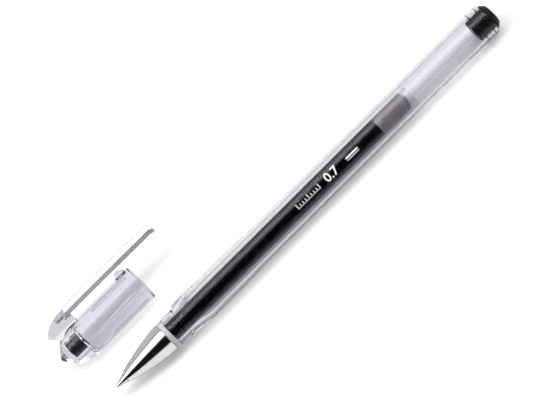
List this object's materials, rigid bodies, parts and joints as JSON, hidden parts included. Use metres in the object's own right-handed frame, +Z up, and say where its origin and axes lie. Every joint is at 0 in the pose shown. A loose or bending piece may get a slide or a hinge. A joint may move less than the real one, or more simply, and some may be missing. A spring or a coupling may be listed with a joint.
{
  "type": "gel pen",
  "caption": "Clear gel pen with a plated nose cone, a pull-out refill and a clear push-on cap with a steel clip, lying open beside it.",
  "frame": {"origin": "on the table, below the middle of the pen and cap together", "axes": "+X from the writing point to the tail, +Y from the pen to the cap, +Z up"},
  "size_m": [0.1486, 0.0339, 0.0145],
  "materials": {
    "clear_plastic": "clear, polished",
    "cap_plastic": "clear, polished",
    "tube_plastic": "translucent, smooth",
    "frosted_plastic": "translucent white",
    "black_plastic": "satin black",
    "black_rubber": "matt black",
    "black_ink": "wet black gel",
    "grey_grease": "cloudy grey gel",
    "plated_brass": "bright plating",
    "steel": "turned steel",
    "hard_ball": "polished",
    "clip_steel": "pressed bright steel"
  },
  "bodies": {
    "pen": {"barrel": "clear_plastic", "tail_plug": "black_plastic"},
    "refill": {"nose_cone": "plated_brass", "writing_tip": "steel", "tip_holder": "frosted_plastic", "ink_tube": "tube_plastic", "ink_column": "black_ink"},
    "writing_ball": {"ball": "hard_ball"},
    "ink_follower": {"follower": "grey_grease"},
    "cap": {"cap_shell": "cap_plastic", "tip_seal": "black_rubber"},
    "pocket_clip": {"clip": "clip_steel"}
  },
  "joints": [
    {"name": "refill_pull", "type": "slide", "parent": "pen", "child": "refill", "axis": [1, 0, 0], "range_m": [-0.095, 0]},
    {"name": "ball_roll", "type": "hinge", "parent": "refill", "child": "writing_ball", "pos_m": [-0.06735, -0.01161, 0.0053], "axis": [0, 1, 0], "continuous": true},
    {"name": "follower_slide", "type": "slide", "parent": "refill", "child": "ink_follower", "axis": [-1, 0, 0], "range_m": [0, 0.076], "deforming": ["ink_column"]},
    {"name": "cap_carry", "type": "slide", "parent": "pen", "child": "cap", "axis": [-0.9246, -0.3809, -0.0055], "range_m": [0, 0.05408]},
    {"name": "clip_flex", "type": "hinge", "parent": "cap", "child": "pocket_clip", "pos_m": [-0.06545, 0.01458, 0.01226], "axis": [0, -0.766, 0.6428], "range_deg": [0, 4], "stiffness_Nm_per_rad": 0.3}
  ]
}
